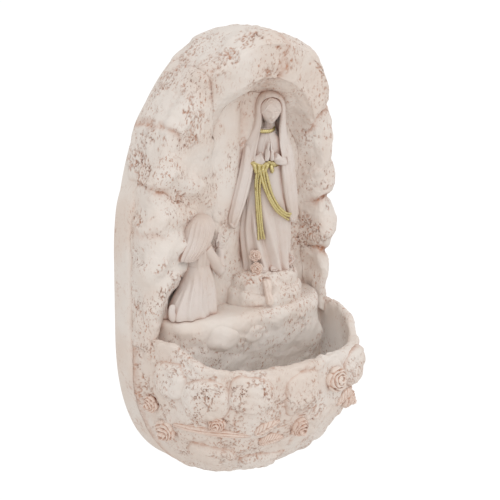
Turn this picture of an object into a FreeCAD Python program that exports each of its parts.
"""Wall-hung holy water stoup: a rock grotto over a flower-trimmed basin, cast in resin and
assembled from separate castings, with a steel keyhole hanger let into the back.

All sizes are millimetres. X runs right, +Y runs into the wall and +Z runs up. The origin is
the centre of the hanger's keyhole on the wall plane. Inside this script a place is written as
(x, f, h): x to the right, f forward of the wall and h above the lowest point of the slab, and
at() turns it into the frame above. Every casting seats face to face on the one before it.
"""
import FreeCAD, Part

import math
import os

from FreeCAD import Matrix, Vector

# ---------------------------------------------------------------- back slab
SLAB_HEIGHT = 203.0          # lowest point to the tip of the arch
SLAB_HALF_WIDTH = 52.5       # at the straight sides
SLAB_THICKNESS = 12.0
FOOT_RISE = 70.0             # height of the rounded foot
FOOT_POWER = 2.4             # roundness of the foot
APEX_X = 8.0                 # the arch's tip stands to the right of the middle
LEFT_ARCH_START = 105.0      # height where the left side begins to lean in
LEFT_ARCH_POWER = 2.0        # bluntness of the left shoulder
RIGHT_ARCH_START = 130.0
RIGHT_ARCH_POWER = 2.4

# ---------------------------------------------------------------- hanger
HANGER_HEIGHT = 165.0        # keyhole centre above the lowest point
PLATE_LENGTH = 44.0
PLATE_WIDTH = 18.0
PLATE_THICKNESS = 1.5
KEYHOLE_RADIUS = 4.5         # passes the wall screw's head
SLOT_RADIUS = 2.2            # holds the wall screw's neck
SLOT_RISE = 6.0              # keyhole centre up to the slot's end
POCKET_DEPTH = 7.0           # room for the screw head behind the plate
POCKET_MARGIN = 1.2          # pocket outline beyond the keyhole
PLATE_CLEARANCE = 0.1        # plate in its rebate
SCREW_SPACING = 32.0
SCREW_RADIUS = 1.5
SCREW_HEAD_RADIUS = 2.8
SCREW_LENGTH = 8.0
SCREW_CLEARANCE = 0.02       # screw in its hole

# ---------------------------------------------------------------- rocks round the grotto
GROTTO_CENTRE = 112.0        # height of the point that the rock joints fan out from
SECTION_STEP = 7.0           # degrees between the shapes lofted for a rock
LUMP_HEIGHT = 1.4            # how far the rocks' lumps rise and sink
LUMPS_ROUND = 17.0           # lumps in a full turn round the grotto
LUMP_SHIFT = 0.9             # radians that the lumps shift from one outline point to the next
FOOT_CREST = 25.0            # crest where the grotto walls meet the basin's rim
FOOT_REACH = 8.0             # reach inwards there
FOOT_SWELL = 0.5
FOOT_INNER = 0.3             # rise of a rock's inner border there
JOINT_DIP = 0.92             # how far a crest drops at a joint

# ---------------------------------------------------------------- raised back of the niche
PANEL_X = 13.0
PANEL_TOP = 190.0
PANEL_HALF_WIDTH = 31.0
PANEL_RISE = 8.0             # how far it stands off the slab

# ---------------------------------------------------------------- basin
BASIN_X = 2.0                # the basin stands a little to the right
BASIN_DEPTH = 71.0           # wall to the front of the belly
BASIN_HALF_WIDTH = 54.5
BASIN_FULL_HEIGHT = 50.0     # height where the belly is fullest
BASIN_POWER = 1.7            # roundness of the belly from below
PLAN_POWER = 2.6             # squareness of the basin seen from above
BASE_WIDTH_SHARE = 0.33      # width of the underside against the belly
BASE_DEPTH_SHARE = 0.25
BASIN_LUMP = 0.9             # how far the basin's lumps rise and sink
BASIN_LUMPS = 8.0            # lumps in a full turn
BASIN_LUMP_RISE = 9.0        # height over which the lumps shift by one radian
BASIN_WALL = 6.0
BASIN_FLOOR = 14.0           # inside floor above the lowest point
BASIN_BACK = 10.0            # back wall in front of the slab
RIM_BACK = 72.0              # rim height beside the grotto walls
RIM_FRONT = 61.5             # rim height in front
RIM_SHOULDER = 30.0          # how far forward the rim stays high
RIM_RUN = 34.0               # length of the rim's dip

# ---------------------------------------------------------------- grotto floor
FLOOR_TOP = 79.0
FLOOR_HALF_WIDTH = 42.0
FLOOR_DEPTH = 42.0           # wall to the front of the ledge
APRON_BOTTOM = 36.0          # lowest point of the rock slope behind the water
APRON_HALF_WIDTH = 40.0
FLOOR_POWER = 3.2            # squareness of the ledge seen from above
FLOOR_CLEARANCE = 0.3        # ledge to the castings beside it

# ---------------------------------------------------------------- mound under the standing figure
MOUND_X = 15.0
MOUND_F = 22.0
MOUND_HALF_WIDTH = 20.0
MOUND_HALF_DEPTH = 16.5
MOUND_HEIGHT = 14.0

# ---------------------------------------------------------------- standing figure
FIGURE_X = 17.0
FIGURE_F = 22.0
FIGURE_TURN = 28.0           # degrees, turned to look to the left
FIGURE_HEIGHT = 84.0         # hem to the top of the hood
ROBE_HALF_WIDTH = 8.6        # at the hem
ROBE_HALF_DEPTH = 7.4
MANTLE_HALF_WIDTH = 14.3     # at its widest, by the elbows
MANTLE_HALF_DEPTH = 8.0
HEAD_RADIUS = 4.5
SLEEVE_RADIUS = 2.9
SASH_PROUD = 0.9             # how far the gilt stands off the robe
SASH_WIDTH = 2.6
TAIL_HALF_WIDTH = 1.9

# ---------------------------------------------------------------- kneeling figure
KNEELER_X = -29.0
KNEELER_F = 25.0
KNEELER_TURN = -96.0         # degrees, turned to look to the right
KNEELER_HEIGHT = 46.0
SKIRT_HALF_LENGTH = 12.8
SKIRT_HALF_WIDTH = 7.8

# ---------------------------------------------------------------- flowers and stones on the basin
BOULDER_RADIUS = 19.0
BOULDER_PROUD = 3.0          # how far a boulder stands off the basin
ROSE_SEAT = 2.5              # how deep a rose is set into the basin
LEAF_THICKNESS = 2.6

# ================================================================ helpers
def at(x, f, h):
    """The frame's point x to the right, f forward of the wall and h above the lowest point."""
    return Vector(x, -f, h - HANGER_HEIGHT)


def solid_of(shape):
    """The largest solid in a shape, turned the right way out."""
    solid = max(shape.Solids, key=lambda s: abs(s.Volume))
    if solid.Volume < 0:
        solid.reverse()
    return solid


def closed_curve(points):
    """A smooth closed wire through the points."""
    curve = Part.BSplineCurve()
    curve.interpolate(Points=points, PeriodicFlag=True)
    return Part.Wire(curve.toShape())


def capped_curve(points):
    """A smooth open curve through the points, closed by one straight edge."""
    curve = Part.BSplineCurve()
    curve.interpolate(Points=points)
    return Part.Wire([curve.toShape(), Part.makeLine(points[-1], points[0])])


def loft(wires):
    """A solid lofted smoothly through closed wires."""
    return solid_of(Part.makeLoft(wires, True, False))


def oval(x, f, h, half_x, half_f, turn=0.0, points=12):
    """A level oval wire, turned by some degrees seen from above."""
    c, s = math.cos(math.radians(turn)), math.sin(math.radians(turn))
    ring = []
    for k in range(points):
        a = 2 * math.pi * k / points
        u, v = half_x * math.cos(a), half_f * math.sin(a)
        ring.append(at(x + u * c - v * s, f + u * s + v * c, h))
    return closed_curve(ring)


def ellipsoid(x, f, h, half_x, half_f, half_h, tilt=(0.0, 0.0, 0.0)):
    """An ellipsoid at a place, turned by degrees about X, Y and Z in that order."""
    matrix = Matrix()
    matrix.scale(half_x, half_f, half_h)
    matrix.rotateX(math.radians(tilt[0]))
    matrix.rotateY(math.radians(tilt[1]))
    matrix.rotateZ(math.radians(tilt[2]))
    shape = Part.makeSphere(1.0).transformGeometry(matrix)
    shape.translate(at(x, f, h))
    return solid_of(shape)


def limb(start, end, radius_start, radius_end):
    """A tapered limb with round ends between two points."""
    axis = end - start
    cone = Part.makeCone(radius_start, radius_end, axis.Length, start, axis)
    ends = [Part.makeSphere(radius_start, start), Part.makeSphere(radius_end, end)]
    return solid_of(cone.fuse(ends).removeSplitter())


def block(x0, x1, f0, f1, h0, h1):
    """A box between two corners given as x, f and h."""
    corner = at(x0, f1, h0)
    return Part.makeBox(x1 - x0, f1 - f0, h1 - h0, corner)


def without(shape, *others):
    """The largest solid left of a shape after others are cut from it."""
    return solid_of(shape.cut(list(others)))


# ================================================================ back slab and hanger
def foot_half_width(h):
    """Half the slab's width at a height in its rounded foot."""
    share = max(0.0, 1 - abs((FOOT_RISE - h) / FOOT_RISE) ** FOOT_POWER)
    return SLAB_HALF_WIDTH * share ** (1 / FOOT_POWER)


def arch_edge(side, h):
    """The slab's edge at a height in its arch: side is 1 on the right and -1 on the left."""
    start, power = {1: (RIGHT_ARCH_START, RIGHT_ARCH_POWER),
                    -1: (LEFT_ARCH_START, LEFT_ARCH_POWER)}[side]
    rise = max(0.0, (h - start) / (SLAB_HEIGHT - start))
    share = max(0.0, 1 - rise ** power) ** (1 / power)
    return APEX_X + (side * SLAB_HALF_WIDTH - APEX_X) * share


def slab_edge(side, h):
    """The slab's edge at any height."""
    return side * foot_half_width(h) if h < FOOT_RISE else arch_edge(side, h)


def slab_side(side, f, steps=9):
    """Points up one side of the slab, without its lowest and highest point."""
    points = []
    for k in range(1, steps):
        h = FOOT_RISE * (1 - math.cos(math.pi / 2 * k / steps))
        points.append(at(slab_edge(side, h), f, h))
    start = RIGHT_ARCH_START if side > 0 else LEFT_ARCH_START
    points.append(at(slab_edge(side, FOOT_RISE), f, FOOT_RISE))
    points.append(at(side * SLAB_HALF_WIDTH, f, (FOOT_RISE + start) / 2))
    for k in range(steps):
        h = start + (SLAB_HEIGHT - start) * math.sin(math.pi / 2 * k / steps)
        points.append(at(slab_edge(side, h), f, h))
    return points


def slab_outline(f):
    """The slab's closed outline at a distance f from the wall."""
    right, left = slab_side(1, f), slab_side(-1, f)
    return closed_curve([at(0, f, 0)] + right + [at(APEX_X, f, SLAB_HEIGHT)] + left[::-1])


def keyhole(radius, slot_radius, f0, f1):
    """A keyhole-shaped cutter between two distances from the wall."""
    depth = Vector(0, -(f1 - f0), 0)
    hole = Part.makeCylinder(radius, f1 - f0, at(0, f0, HANGER_HEIGHT), depth)
    top = Part.makeCylinder(slot_radius, f1 - f0, at(0, f0, HANGER_HEIGHT + SLOT_RISE), depth)
    slot = block(-slot_radius, slot_radius, f0, f1, HANGER_HEIGHT, HANGER_HEIGHT + SLOT_RISE)
    return hole.fuse([top, slot])


def screw_places():
    """The two hanger screws' axes on the wall plane."""
    return [at(side * SCREW_SPACING / 2, 0, HANGER_HEIGHT) for side in (-1, 1)]


def screw(place, grow=0.0):
    """A countersunk screw, or with grow the hole that it goes in."""
    inward = Vector(0, -1, 0)
    head_depth = SCREW_HEAD_RADIUS - SCREW_RADIUS
    head = Part.makeCone(SCREW_HEAD_RADIUS + grow, SCREW_RADIUS + grow, head_depth, place, inward)
    shank = Part.makeCylinder(SCREW_RADIUS + grow, SCREW_LENGTH + grow, place, inward)
    return solid_of(head.fuse(shank).removeSplitter())


def hanger_plate():
    """The steel keyhole plate, flush with the wall plane."""
    half = PLATE_LENGTH / 2
    plate = block(-half, half, 0, PLATE_THICKNESS, HANGER_HEIGHT - PLATE_WIDTH / 2,
                  HANGER_HEIGHT + PLATE_WIDTH / 2)
    holes = [screw(place, SCREW_CLEARANCE) for place in screw_places()]
    return without(plate, keyhole(KEYHOLE_RADIUS, SLOT_RADIUS, 0, PLATE_THICKNESS), *holes)


def back_slab():
    """The flat back casting, with the hanger's rebate, pocket and screw holes."""
    body = Part.Face(slab_outline(0)).extrude(Vector(0, -SLAB_THICKNESS, 0))
    half_length = PLATE_LENGTH / 2 + PLATE_CLEARANCE
    half_width = PLATE_WIDTH / 2 + PLATE_CLEARANCE
    rebate = block(-half_length, half_length, 0, PLATE_THICKNESS,
                   HANGER_HEIGHT - half_width, HANGER_HEIGHT + half_width)
    head = KEYHOLE_RADIUS + POCKET_MARGIN
    pocket = keyhole(head, head, 0, POCKET_DEPTH)
    holes = [screw(place, SCREW_CLEARANCE) for place in screw_places()]
    return without(body, rebate, pocket, *holes)


# ================================================================ rocks round the grotto
# name, first and last joint in degrees round the grotto's centre (0 is right, 90 is up), then
# crest in front of the wall, lip from the edge to the crest, width of the crest's face,
# reach inwards along the slab, swell beyond the slab's edge, rise of the inner border
ROCKS = [
    ("right_lower_rock", -44, -18, 26.0, 4.0, 2.0, 9.0, 1.5, 3.0),
    ("right_middle_rock", -18, 12, 30.0, 5.0, 3.0, 13.0, 4.5, 7.0),
    ("right_upper_rock", 12, 50, 30.0, 5.0, 3.0, 14.0, 3.0, 7.5),
    ("cap_rock", 50, 106, 38.0, 4.0, 13.0, 24.0, 3.5, 8.0),
    ("left_upper_rock", 106, 150, 29.0, 5.0, 3.0, 44.0, 1.0, 9.0),
    ("left_wall_rock", 150, 224, 30.0, 6.0, 3.0, 38.0, 1.0, 6.0),
]
FOOT_VALUES = (FOOT_CREST, 5.0, 1.0, FOOT_REACH, FOOT_SWELL, FOOT_INNER)


def edge_distance(angle):
    """Distance from the grotto's centre to the slab's edge, by halving."""
    c, s = math.cos(math.radians(angle)), math.sin(math.radians(angle))
    near, far = 0.0, SLAB_HEIGHT
    for _ in range(40):
        middle = (near + far) / 2
        h = GROTTO_CENTRE + middle * s
        inside = 0 < h < SLAB_HEIGHT and slab_edge(-1, h) < middle * c < slab_edge(1, h)
        near, far = (middle, far) if inside else (near, middle)
    return near


def joint_values():
    """Crest, lip, face, reach, swell and inner rise at each joint, from the rocks that meet there."""
    ends = [FOOT_VALUES]
    for low, high in zip(ROCKS, ROCKS[1:]):
        crest, lip, face, reach, swell, inner = [(a + b) / 2 for a, b in zip(low[3:], high[3:])]
        ends.append((crest * JOINT_DIP, lip, face, reach, min(low[7], high[7]) / 2, inner))
    return ends + [FOOT_VALUES]


def rock_section(angle, lumpy, crest, lip, face, reach, swell, inner):
    """A rock's outline in the plane through the grotto's centre at an angle.

    Each point is its distance out from the slab's edge, its rise off the slab, and the direction,
    out and up, in which the rock's lumps move it. The share lumpy is 0 at a joint.
    """
    edge = edge_distance(angle)
    rise = crest - SLAB_THICKNESS
    brow = lip + face
    deep = reach - brow
    drop = rise - inner
    outline = [
        (0.0, 0.0, 0.0, 0.0),
        (swell, 0.35 * rise, 1.0, 0.0),
        (swell * 0.8, 0.75 * rise, 0.7, 0.4),
        (-lip * 0.5, 0.97 * rise, 0.2, 0.9),
        (-lip, rise, 0.0, 1.0),
        (-brow, 0.95 * rise, -0.3, 0.8),
        (-brow - deep * 0.4, inner + drop * 0.62, -0.4, 0.8),
        (-brow - deep * 0.75, inner + drop * 0.24, -0.3, 0.7),
        (-reach + 1.5, inner + 0.1, 0.0, 0.0),
        (-reach + 0.3, inner * 0.7, 0.0, 0.0),
        (-reach, 0.0, 0.0, 0.0),
    ]
    c, s = math.cos(math.radians(angle)), math.sin(math.radians(angle))
    places = []
    for number, (out, up, lump_out, lump_up) in enumerate(outline):
        lump = lumpy * LUMP_HEIGHT * math.sin(math.radians(LUMPS_ROUND * angle) + LUMP_SHIFT * number)
        away = edge + out + lump * lump_out
        places.append(at(away * c, SLAB_THICKNESS + up + lump * lump_up, GROTTO_CENTRE + away * s))
    return capped_curve(places)


def rock(index):
    """One rock of the grotto, swelling between its two joints."""
    name, first, last, *full = ROCKS[index]
    ends = joint_values()
    count = round((last - first) / SECTION_STEP)
    sections = []
    for k in range(count + 1):
        share = k / count
        swell = math.sin(math.pi * share) ** 0.7
        start_end = [a + (b - a) * share for a, b in zip(ends[index], ends[index + 1])]
        values = [e + (v - e) * swell for e, v in zip(start_end, full)]
        sections.append(rock_section(first + (last - first) * share, swell, *values))
    shape = loft(sections)
    wide = 2 * SLAB_HALF_WIDTH
    below = block(-wide, wide, 0, BASIN_DEPTH, -FOOT_RISE, RIM_BACK)
    return without(shape, below, floor_rebate())


# ================================================================ basin
def belly_share(h):
    """How full the basin is at a height, from 0 at its foot to 1 at its belly."""
    drop = max(0.0, (BASIN_FULL_HEIGHT - h) / BASIN_FULL_HEIGHT)
    return max(0.0, 1 - drop ** BASIN_POWER) ** (1 / BASIN_POWER)


def basin_lump(a, h):
    """How far the basin's lumps move its outside at an angle in radians and a height."""
    return BASIN_LUMP * math.sin(a) * math.sin(BASIN_LUMPS * a + h / BASIN_LUMP_RISE)


def basin_section(h, back, inset, points=21):
    """The basin's outline at a height: a squarish half oval closed along its back."""
    share = belly_share(h + inset)
    half = BASIN_HALF_WIDTH * (BASE_WIDTH_SHARE + (1 - BASE_WIDTH_SHARE) * share) - inset
    run = BASE_DEPTH_SHARE + (1 - BASE_DEPTH_SHARE) * share
    deep = SLAB_THICKNESS + (BASIN_DEPTH - SLAB_THICKNESS) * run - inset
    curve = []
    for k in range(points):
        a = math.pi * k / (points - 1)
        c, s = math.cos(a), math.sin(a)
        lump = 0.0 if inset else share * basin_lump(a, h)
        x = (half + lump) * math.copysign(abs(c) ** (2 / PLAN_POWER), c)
        f = back + (deep + lump - back) * max(0.0, s) ** (2 / PLAN_POWER)
        curve.append(at(BASIN_X + x, f, h))
    return capped_curve(curve)


def rim_cutter():
    """Everything above the rim, which is level beside the walls and dips in front."""
    wide = BASIN_HALF_WIDTH * 2
    far = 2 * BASIN_DEPTH
    top = RIM_BACK + FLOOR_TOP
    end = RIM_SHOULDER + RIM_RUN
    dip = [at(-wide, RIM_SHOULDER, RIM_BACK), at(-wide, RIM_SHOULDER + RIM_RUN / 3, RIM_BACK),
           at(-wide, end - RIM_RUN / 3, RIM_FRONT), at(-wide, end, RIM_FRONT)]
    slope = Part.BezierCurve()
    slope.setPoles(dip)
    rest = [dip[-1], at(-wide, far, RIM_FRONT), at(-wide, far, top), at(-wide, -far, top),
            at(-wide, -far, RIM_BACK), dip[0]]
    edges = [slope.toShape()] + [Part.makeLine(a, b) for a, b in zip(rest, rest[1:])]
    return Part.Face(Part.Wire(edges)).extrude(Vector(2 * wide, 0, 0))


def basin_outside():
    """The basin's outer shape, solid and without its rim."""
    full = BASIN_FULL_HEIGHT
    levels = [full * share for share in (0.0, 0.05, 0.14, 0.28, 0.44, 0.62, 0.8, 1.0)]
    levels += [(full + RIM_BACK) / 2, RIM_BACK + BASIN_WALL]
    return loft([basin_section(h, SLAB_THICKNESS, 0.0) for h in levels])


def basin(outside):
    """The hollow basin that holds the water."""
    rise = BASIN_FULL_HEIGHT - BASIN_FLOOR
    levels = [BASIN_FLOOR + rise * share for share in (0.0, 0.08, 0.28, 0.6, 1.0)]
    levels += [(BASIN_FULL_HEIGHT + RIM_BACK) / 2, RIM_BACK + BASIN_WALL]
    hollow = loft([basin_section(h, SLAB_THICKNESS + BASIN_BACK, BASIN_WALL) for h in levels])
    return without(outside, rim_cutter(), hollow)


# ================================================================ grotto floor and mound
def floor_section(h, half, back, front, x=0.0, points=9):
    """A level section of the ledge: a squarish half oval closed along its back."""
    curve = []
    for k in range(points):
        a = math.pi * k / (points - 1)
        c, s = math.cos(a), math.sin(a)
        across = half * math.copysign(abs(c) ** (2 / FLOOR_POWER), c)
        curve.append(at(x + across, back + (front - back) * s ** (2 / FLOOR_POWER), h))
    return capped_curve(curve)


def floor_rebate():
    """The room left in the rocks for the ledge."""
    half = FLOOR_HALF_WIDTH + FLOOR_CLEARANCE
    return block(-half, half, SLAB_THICKNESS, BASIN_DEPTH, RIM_BACK, FLOOR_TOP)


def grotto_floor():
    """The ledge that the figures stand on, with a rock slope down into the basin."""
    back = SLAB_THICKNESS + BASIN_BACK
    apron = loft([floor_section(APRON_BOTTOM, APRON_HALF_WIDTH * 0.7, back, back + 3),
                  floor_section((APRON_BOTTOM + RIM_BACK) / 2, APRON_HALF_WIDTH * 0.9, back, back + 8),
                  floor_section(RIM_BACK, APRON_HALF_WIDTH, back, FLOOR_DEPTH - 3)])
    middle = (RIM_BACK + FLOOR_TOP) / 2
    shelf = loft([floor_section(RIM_BACK, FLOOR_HALF_WIDTH, SLAB_THICKNESS, FLOOR_DEPTH - 2),
                  floor_section(middle, FLOOR_HALF_WIDTH, SLAB_THICKNESS, FLOOR_DEPTH),
                  floor_section(FLOOR_TOP, FLOOR_HALF_WIDTH, SLAB_THICKNESS, FLOOR_DEPTH - 3)])
    return solid_of(apron.fuse(shelf))


def niche_panel():
    """The raised back of the niche, behind the standing figure and to the left of it."""
    shape = [(0.0, 1.0, 0.8), (0.25, 1.0, 0.95), (0.6, 1.0, 1.0), (0.85, 0.85, 1.0), (1.0, 0.6, 0.9)]
    height = PANEL_TOP - FLOOR_TOP
    return loft([floor_section(FLOOR_TOP + height * up, PANEL_HALF_WIDTH * wide, SLAB_THICKNESS,
                               SLAB_THICKNESS + PANEL_RISE * rise, PANEL_X) for up, wide, rise in shape])


def mound():
    """The layered rock under the standing figure."""
    layers = [(0.0, 0.96), (0.25, 1.0), (0.5, 0.9), (0.75, 0.82), (1.0, 0.7)]
    shape = loft([oval(MOUND_X, MOUND_F, FLOOR_TOP + MOUND_HEIGHT * up, MOUND_HALF_WIDTH * wide,
                       MOUND_HALF_DEPTH * wide) for up, wide in layers])
    wide = 2 * MOUND_HALF_WIDTH
    behind = block(MOUND_X - wide, MOUND_X + wide, -wide, SLAB_THICKNESS, FLOOR_TOP - wide,
                   FLOOR_TOP + wide)
    return without(shape, behind)


# ================================================================ standing figure
def turned(x, f, turn, u, v):
    """A figure's own u (to its left) and v (forward) as x and f."""
    c, s = math.cos(math.radians(turn)), math.sin(math.radians(turn))
    return x + u * c - v * s, f + u * s + v * c


def figure_place(u, v, share):
    """A place on the standing figure: share is the height up the figure, from 0 to 1."""
    x, f = turned(FIGURE_X, FIGURE_F, FIGURE_TURN, u, v)
    return x, f, FLOOR_TOP + MOUND_HEIGHT + FIGURE_HEIGHT * share


def figure_oval(v, share, half_u, half_v, u=0.0):
    """A level oval round the standing figure's own middle."""
    return oval(*figure_place(u, v, share), half_u, half_v, FIGURE_TURN)


# height up the figure, half width and half depth as shares of the hem's
ROBE_SHAPE = [(0.0, 0.98, 1.0), (0.05, 1.0, 1.0), (0.24, 0.9, 0.9), (0.48, 0.79, 0.76),
              (0.58, 0.74, 0.7), (0.66, 0.88, 0.76), (0.725, 0.8, 0.7), (0.76, 0.5, 0.54),
              (0.79, 0.42, 0.48)]
# height up the figure, half width and half depth as shares of the widest, set back
MANTLE_SHAPE = [(0.1, 0.55, 0.75, 1.5), (0.17, 0.7, 0.85, 1.6), (0.29, 0.9, 1.0, 1.8),
                (0.43, 1.0, 1.0, 1.8), (0.56, 0.98, 0.98, 1.6), (0.65, 0.85, 0.92, 1.4),
                (0.74, 0.68, 0.85, 1.2), (0.775, 0.56, 0.85, 1.1), (0.83, 0.5, 0.88, 0.9),
                (0.9, 0.5, 0.9, 0.7), (0.96, 0.38, 0.7, 0.6), (1.0, 0.14, 0.3, 0.5)]
# half width of the mantle's opening at a height up the figure
OPENING_SHAPE = [(0.05, 11.0), (0.3, 9.5), (0.5, 8.0), (0.64, 6.0), (0.74, 4.2), (0.8, 4.6),
                 (0.88, 4.9), (0.94, 3.2), (0.955, 0.6)]


def robe():
    """The robe, from its hem to the neck."""
    return loft([figure_oval(0.0, share, ROBE_HALF_WIDTH * wide, ROBE_HALF_DEPTH * deep)
                 for share, wide, deep in ROBE_SHAPE])


def head():
    """The standing figure's head."""
    return ellipsoid(*figure_place(0, 1.0, 0.865), HEAD_RADIUS, HEAD_RADIUS * 1.1,
                     HEAD_RADIUS * 1.4, (0, 0, -FIGURE_TURN))


def mantle(robe_body, head_body):
    """The hooded mantle, open down the front."""
    cloth = loft([figure_oval(-back, share, MANTLE_HALF_WIDTH * wide, MANTLE_HALF_DEPTH * deep)
                  for share, wide, deep, back in MANTLE_SHAPE])
    right = [Vector(*figure_point(half, 0.5, share)) for share, half in OPENING_SHAPE]
    left = [Vector(*figure_point(-half, 0.5, share)) for share, half in reversed(OPENING_SHAPE)]
    outline = Part.makePolygon(right + left + right[:1])
    ahead = figure_point(0, 2 * MANTLE_HALF_WIDTH, 0) - figure_point(0, 0, 0)
    opening = Part.Face(outline).extrude(ahead)
    return without(cloth, opening, robe_body, head_body)


def figure_point(u, v, share):
    """A place on the standing figure, in the frame above."""
    return at(*figure_place(u, v, share))


def sleeve(side):
    """One arm in its sleeve, from the shoulder to the wrist."""
    shoulder = figure_point(side * 7.6, -0.5, 0.71)
    elbow = figure_point(side * 9.4, 2.2, 0.58)
    wrist = figure_point(side * 2.4, 7.4, 0.655)
    upper = limb(shoulder, elbow, SLEEVE_RADIUS, SLEEVE_RADIUS * 1.1)
    lower = limb(elbow, wrist, SLEEVE_RADIUS * 1.1, SLEEVE_RADIUS * 0.7)
    return solid_of(upper.fuse(lower))


def hands():
    """The joined hands, pointing up."""
    return limb(figure_point(0, 7.0, 0.645), figure_point(0, 8.6, 0.725), 2.0, 1.0)


def band(share, height, half_u, half_v, v=0.0):
    """A level band round the figure."""
    rise = height / FIGURE_HEIGHT
    ring = [figure_oval(v, share - rise / 2, half_u, half_v),
            figure_oval(v, share + rise / 2, half_u, half_v)]
    return solid_of(Part.makeLoft(ring, True, True))


def tail(places, half_width):
    """A sash tail down the robe, through places given as u, v and height share."""
    return loft([oval(*figure_place(u, v, share), half_width, 1.9, FIGURE_TURN)
                 for u, v, share in places])


# u, v and height share of a sash tail's middle
LONG_TAIL = [(-1.6, 4.6, 0.6), (-1.8, 5.0, 0.48), (-1.4, 5.6, 0.33), (-1.0, 6.4, 0.19)]
SIDE_TAIL = [(-0.2, 4.6, 0.6), (1.4, 5.0, 0.5), (4.4, 5.2, 0.4), (8.6, 4.8, 0.315),
             (11.0, 4.6, 0.285)]
SASH_SHARE = 0.605           # the sash's height up the figure
NECK_SHARE = 0.795


def feet():
    """The bare toes under the hem."""
    return [ellipsoid(*figure_place(u, ROBE_HALF_DEPTH + 0.4, 0.012), 1.7, 3.2, 1.6,
                      (0, 0, -FIGURE_TURN)) for u in (-2.6, 1.8)]


# ================================================================ kneeling figure
def kneeler_place(u, v, share):
    """A place on the kneeling figure: share is the height up the figure, from 0 to 1."""
    x, f = turned(KNEELER_X, KNEELER_F, KNEELER_TURN, u, v)
    return x, f, FLOOR_TOP + KNEELER_HEIGHT * share


# height up the figure, middle forward, half width and half length as shares of the skirt's
SKIRT_SHAPE = [(0.0, 0.0, 0.97, 0.97), (0.06, 0.0, 1.0, 1.0), (0.18, 1.4, 0.94, 0.88),
               (0.32, 3.4, 0.82, 0.66), (0.48, 4.0, 0.7, 0.46)]
# height up the figure, middle forward, half width and half depth
BODICE_SHAPE = [(0.48, 4.0, 5.4, 5.8), (0.58, 4.2, 6.2, 5.8), (0.7, 4.6, 6.6, 5.4), (0.78, 5.0, 4.6, 4.2)]


def kneeler_part(shape):
    """A part of the kneeling figure lofted through level ovals."""
    return loft([oval(*kneeler_place(0, v, share), half_u, half_v, KNEELER_TURN)
                 for share, v, half_u, half_v in shape])


def kneeler_skirt():
    """The skirt, spread back over the lower legs."""
    return kneeler_part([(share, v, SKIRT_HALF_WIDTH * wide, SKIRT_HALF_LENGTH * long)
                         for share, v, wide, long in SKIRT_SHAPE])


def kneeler_head():
    """The kneeling figure's head, bowed forward."""
    return ellipsoid(*kneeler_place(0, 8.6, 0.85), 3.9, 4.3, 5.0, (12, 0, -KNEELER_TURN))


def kneeler_veil():
    """The veil over the head, down to the shoulders."""
    shape = [(0.56, 2.6, 5.0, 3.6), (0.66, 3.0, 7.2, 6.0), (0.78, 4.2, 6.9, 7.0),
             (0.9, 5.8, 6.0, 6.6), (0.97, 6.6, 4.2, 4.6), (1.0, 6.8, 1.6, 1.8)]
    return kneeler_part(shape)


def kneeler_arm(side):
    """One arm raised in prayer: shoulder, elbow and wrist."""
    shoulder = at(*kneeler_place(side * 5.2, 6.0, 0.68))
    elbow = at(*kneeler_place(side * 4.6, 13.5, 0.42))
    wrist = at(*kneeler_place(side * 1.9, 16.8, 0.6))
    return solid_of(limb(shoulder, elbow, 2.6, 2.4).fuse(limb(elbow, wrist, 2.4, 1.7)))


def kneeler_hands():
    """The kneeling figure's joined hands."""
    return limb(at(*kneeler_place(0, 16.6, 0.6)), at(*kneeler_place(0, 17.6, 0.76)), 1.9, 1.0)


def kneeler_shoes():
    """The two soles that show behind the skirt."""
    return [ellipsoid(*kneeler_place(u, -SKIRT_HALF_LENGTH, 0.1), 2.0, 1.8, 3.4, (0, 0, -KNEELER_TURN))
            for u in (-2.6, 2.6)]


# ================================================================ flowers and stones
def basin_point(angle, h):
    """A point on the basin's outside: angle runs from the right (0) over the front (90)."""
    share = belly_share(h)
    lump = share * basin_lump(math.radians(angle), h)
    half = BASIN_HALF_WIDTH * (BASE_WIDTH_SHARE + (1 - BASE_WIDTH_SHARE) * share) + lump
    run = (BASIN_DEPTH - SLAB_THICKNESS) * (BASE_DEPTH_SHARE + (1 - BASE_DEPTH_SHARE) * share) + lump
    c, s = math.cos(math.radians(angle)), math.sin(math.radians(angle))
    x = half * math.copysign(abs(c) ** (2 / PLAN_POWER), c)
    return at(BASIN_X + x, SLAB_THICKNESS + run * max(0.0, s) ** (2 / PLAN_POWER), h)


def basin_normal(angle, h, step=0.5):
    """The basin's outward direction at a place, from points close by."""
    across = basin_point(angle + step, h) - basin_point(angle - step, h)
    along = basin_point(angle, h + step) - basin_point(angle, h - step)
    normal = along.cross(across)
    return normal.normalize() if normal.y < 0 else (-normal).normalize()


def rose(place, normal, radius):
    """An open rose that faces along a normal: three rings of petals about a bud."""
    rings = [(0, -ROSE_SEAT), (0.8, -ROSE_SEAT), (1.0, 0.3), (0.8, 0.42), (0.74, 0.26),
             (0.58, 0.56), (0.5, 0.36), (0.34, 0.66), (0, 0.72)]
    outline = [Vector(r * radius, 0, z if z < 0 else z * radius) for r, z in rings]
    face = Part.Face(Part.makePolygon(outline + outline[:1]))
    shape = solid_of(face.revolve(Vector(), Vector(0, 0, 1), 360))
    shape.Placement = FreeCAD.Placement(place, FreeCAD.Rotation(Vector(0, 0, 1), normal))
    return shape


def boulder(angle, h):
    """A rounded stone that stands off the basin."""
    inward = basin_normal(angle, h) * (BOULDER_PROUD - BOULDER_RADIUS)
    return Part.makeSphere(BOULDER_RADIUS, basin_point(angle, h) + inward)


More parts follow.
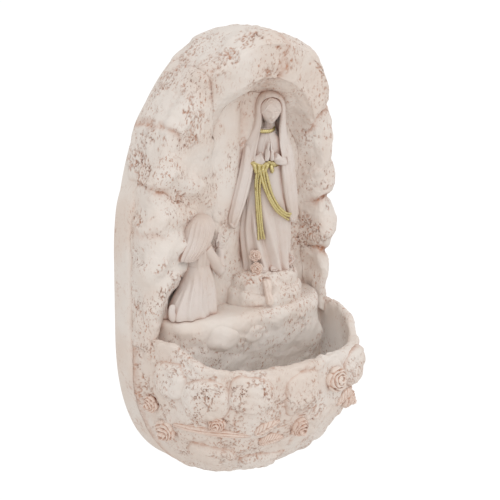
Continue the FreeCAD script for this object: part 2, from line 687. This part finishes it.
def leaf(start, end, half_width):
    """A leaf laid along the basin between two places given as angle and height."""
    a, b = basin_point(*start), basin_point(*end)
    middle = ((start[0] + end[0]) / 2, (start[1] + end[1]) / 2)
    normal = basin_normal(*middle)
    along = (b - a).normalize()
    matrix = Matrix()
    matrix.scale((b - a).Length / 2, half_width, LEAF_THICKNESS)
    shape = Part.makeSphere(1.0).transformGeometry(matrix)
    across = normal.cross(along)
    turn = FreeCAD.Rotation(along, across, normal, "XZY")
    shape.Placement = FreeCAD.Placement(basin_point(*middle), turn)
    return solid_of(shape)


# name, x, f and height of the middle, radius, height of the direction that it faces
FOOT_ROSES = [("foot_rose_upper", 8.2, 24.2, 100.4, 3.0, 0.3), ("foot_rose_lower", 6.6, 27.0, 95.2, 2.8, 0.2)]
# name, x, f and height of the middle, radius
STEP_STONES = [("step_stone_left", -20.0, 35.0, 70.0, 8.6), ("step_stone_right", -3.0, 36.0, 71.5, 8.0)]
# name, angle round the basin, height, radius
ROSES = [("rose_left", 166, 29, 5.4), ("rose_left_small", 172, 41, 4.0), ("rose_bud", 134, 37, 3.8),
         ("rose_front", 90, 30, 4.8), ("rose_right", 76, 50, 5.8), ("rose_far_right", 52, 34, 4.6)]
# name, start and end as angle and height, half width
LEAVES = [("branch", (160, 34), (115, 29), 2.4), ("leaf_front", (112, 30), (99, 36), 3.0),
          ("leaf_shell", (108, 24), (95, 26), 3.6), ("leaf_right", (72, 36), (60, 42), 3.0)]
# name, angle, height
BOULDERS = [("stone_left", 160, 55), ("stone_front_left", 140, 48), ("stone_front", 116, 51),
            ("stone_front_right", 92, 48), ("stone_right", 58, 52), ("stone_low_left", 138, 19),
            ("stone_low_front", 104, 13)]


# ================================================================ run
NODES = {}


def export(name, *solids):
    """Writes one node as a STEP file and keeps its solids."""
    shape = solids[0] if len(solids) == 1 else Part.makeCompound(list(solids))
    shape.exportStep(os.path.join("parts", name + ".step"))
    NODES[name] = list(solids)
    state = "ok" if shape.isValid() else "BAD"
    print(name, state, len(shape.Solids), round(shape.Volume, 1))
    return shape


def seated(shape, *names):
    """A shape with the castings that it sits on cut out of it."""
    return without(shape, *[solid for name in names for solid in NODES[name]])


def make_shell():
    """The slab with its hanger, the rocks round the grotto, the basin and the ledge."""
    export("back_slab", back_slab())
    export("hanger_plate", hanger_plate())
    export("hanger_screws", *[screw(place) for place in screw_places()])
    for index, entry in enumerate(ROCKS):
        export(entry[0], rock(index))
    outside = basin_outside()
    export("basin", basin(outside))
    export("grotto_floor", grotto_floor())
    export("mound", mound())
    export("niche_panel", seated(niche_panel(), "mound", *[entry[0] for entry in ROCKS]))
    for name, x, f, h, radius in STEP_STONES:
        stone = Part.makeSphere(radius, at(x, f, h))
        export(name, seated(stone, "grotto_floor", "mound"))
    return outside


def make_standing_figure():
    """The standing figure: robe, head, mantle, arms, hands, gilt band and sash, feet."""
    export("robe", seated(robe(), "niche_panel"))
    export("head", seated(head(), "robe", "niche_panel"))
    export("mantle", seated(mantle(NODES["robe"][0], NODES["head"][0]), "back_slab", "niche_panel"))
    body = ("robe", "mantle", "niche_panel")
    export("right_sleeve", seated(sleeve(-1), *body))
    export("left_sleeve", seated(sleeve(1), *body))
    export("joined_hands", seated(hands(), "robe", "right_sleeve", "left_sleeve"))
    neck = band(NECK_SHARE, 2.4, ROBE_HALF_WIDTH * 0.6, ROBE_HALF_DEPTH * 0.66)
    export("neck_band", seated(neck, "head", *body))
    waist = band(SASH_SHARE, SASH_WIDTH, ROBE_HALF_WIDTH * 0.76 + SASH_PROUD,
                 ROBE_HALF_DEPTH * 0.72 + SASH_PROUD)
    arms = ("left_sleeve", "right_sleeve", "joined_hands")
    export("sash", seated(waist, *body, *arms))
    export("sash_long_tail", seated(tail(LONG_TAIL, TAIL_HALF_WIDTH), *body, *arms, "sash"))
    export("sash_side_tail", seated(tail(SIDE_TAIL, TAIL_HALF_WIDTH), *body, *arms, "sash",
                                    "sash_long_tail"))
    export("feet", *[seated(foot, "robe", "mound") for foot in feet()])
    for name, x, f, h, radius, rise in FOOT_ROSES:
        flower = rose(at(x, f, h), Vector(-0.62, -0.78, rise), radius)
        export(name, seated(flower, *body, "mound", *[n for n in NODES if n.startswith("foot_")]))
    bud = limb(at(6.5, 37.8, FLOOR_TOP + 1.6), at(6.5, 34.4, FLOOR_TOP + MOUND_HEIGHT - 2.0), 1.4, 1.9)
    export("foot_bud", seated(bud, "grotto_floor", "mound"))


def make_kneeling_figure():
    """The kneeling figure: skirt, bodice, head, veil, arms, hands and shoes."""
    walls = ("left_wall_rock", "left_upper_rock", "grotto_floor", "back_slab", "niche_panel")
    export("kneeler_skirt", seated(kneeler_skirt(), *walls))
    export("kneeler_bodice", seated(kneeler_part(BODICE_SHAPE), *walls))
    export("kneeler_head", seated(kneeler_head(), "kneeler_bodice", *walls))
    export("kneeler_veil", seated(kneeler_veil(), "kneeler_bodice", "kneeler_head", *walls))
    body = ("kneeler_skirt", "kneeler_bodice", "kneeler_head", "kneeler_veil")
    export("kneeler_right_arm", seated(kneeler_arm(1), *body, *walls))
    export("kneeler_left_arm", seated(kneeler_arm(-1), *body))
    export("kneeler_hands", seated(kneeler_hands(), "kneeler_right_arm", "kneeler_left_arm"))
    export("kneeler_shoes", *[seated(shoe, "kneeler_skirt", *walls) for shoe in kneeler_shoes()])


def make_basin_trim(outside):
    """The stones, roses and leaves on the basin."""
    shapes = [(name, boulder(angle, h)) for name, angle, h in BOULDERS]
    shapes += [(name, rose(basin_point(angle, h), basin_normal(angle, h), radius))
               for name, angle, h, radius in ROSES]
    shapes += [(name, leaf(start, end, half_width)) for name, start, end, half_width in LEAVES]
    above, placed = rim_cutter(), []
    for name, shape in shapes:
        export(name, seated(without(shape, outside, above), "back_slab", *placed))
        placed.append(name)


def main():
    """Builds every casting and writes the parts."""
    os.makedirs("parts", exist_ok=True)
    outside = make_shell()
    make_standing_figure()
    make_kneeling_figure()
    make_basin_trim(outside)


main()
